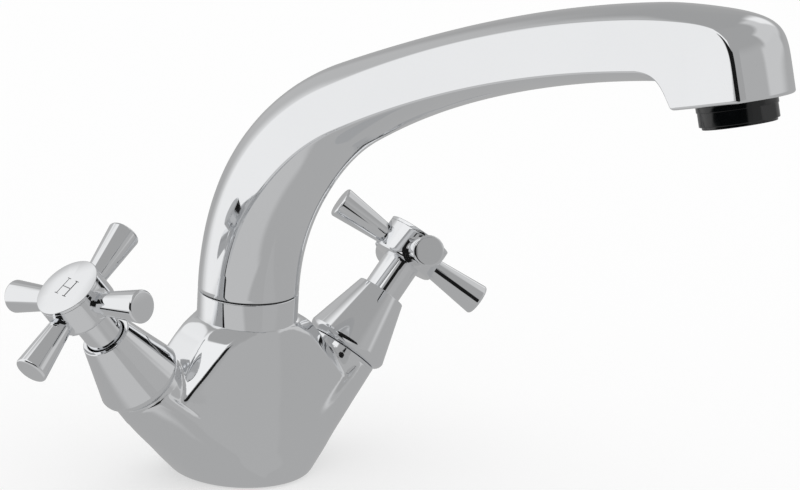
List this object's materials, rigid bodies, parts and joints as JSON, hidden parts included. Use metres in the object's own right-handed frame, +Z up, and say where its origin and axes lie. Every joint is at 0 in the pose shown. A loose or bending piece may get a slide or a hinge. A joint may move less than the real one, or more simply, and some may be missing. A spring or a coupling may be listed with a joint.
{
  "type": "kitchen sink mixer",
  "caption": "Polished kitchen sink mixer: a long swivel cast spout with a square outlet head and black aerator, on one cast body with cross handles on valves that lean outwards.",
  "frame": {"origin": "the middle of the base's underside, on the deck, where the spout's swivel axis meets it", "axes": "+Z is up along the swivel axis, -Y is towards the user, the hot valve is at -X and the cold valve at +X"},
  "size_m": [0.1815, 0.2449, 0.199],
  "materials": {
    "body_chrome": "mirror-polished plating",
    "spout_chrome": "mirror-polished plating",
    "trim_chrome": "mirror-polished plating",
    "handle_chrome": "mirror-polished plating",
    "index_chrome": "mirror-polished plating",
    "aerator_black": "moulded, glossy",
    "black_nylon": "moulded, matt",
    "white_nylon": "moulded, matt",
    "rubber": "moulded, matt",
    "brass": "turned, bright",
    "ceramic": "lapped",
    "steel": "machined stainless"
  },
  "bodies": {
    "mixer_body": {"body_casting": "body_chrome", "base_seal": "rubber", "slip_washer": "black_nylon", "spout_grub_screw": "steel", "hot_valve_body": "brass", "hot_valve_o_ring": "rubber", "hot_fixed_disc": "ceramic", "hot_seat_seal": "rubber", "hot_shroud": "trim_chrome", "cold_valve_body": "brass", "cold_valve_o_ring": "rubber", "cold_fixed_disc": "ceramic", "cold_seat_seal": "rubber", "cold_shroud": "trim_chrome"},
    "swivel_spout": {"spout": "spout_chrome", "spout_spigot": "brass", "spigot_o_rings": "rubber", "spigot_bearing": "white_nylon", "aerator_housing": "aerator_black", "aerator_insert": "aerator_black", "aerator_screen": "steel", "aerator_seal": "rubber"},
    "hot_cross": {"hot_handle": "handle_chrome", "hot_handle_screw": "steel", "hot_index": "index_chrome", "hot_spindle": "brass", "hot_spindle_o_rings": "rubber", "hot_spindle_clip": "steel", "hot_moving_disc": "ceramic"},
    "cold_cross": {"cold_handle": "handle_chrome", "cold_handle_screw": "steel", "cold_index": "index_chrome", "cold_spindle": "brass", "cold_spindle_o_rings": "rubber", "cold_spindle_clip": "steel", "cold_moving_disc": "ceramic"}
  },
  "joints": [
    {"name": "spout_swivel", "type": "hinge", "parent": "mixer_body", "child": "swivel_spout", "pos_m": [0, 0, 0.0623], "axis": [0, 0, 1], "continuous": true},
    {"name": "hot_handle_turn", "type": "hinge", "parent": "mixer_body", "child": "hot_cross", "pos_m": [-0.04, 0, 0.0355], "axis": [-0.6293, 0, 0.7771], "range_deg": [0, 90]},
    {"name": "cold_handle_turn", "type": "hinge", "parent": "mixer_body", "child": "cold_cross", "pos_m": [0.04, 0, 0.0355], "axis": [0.6293, 0, 0.7771], "range_deg": [-90, 0]}
  ]
}
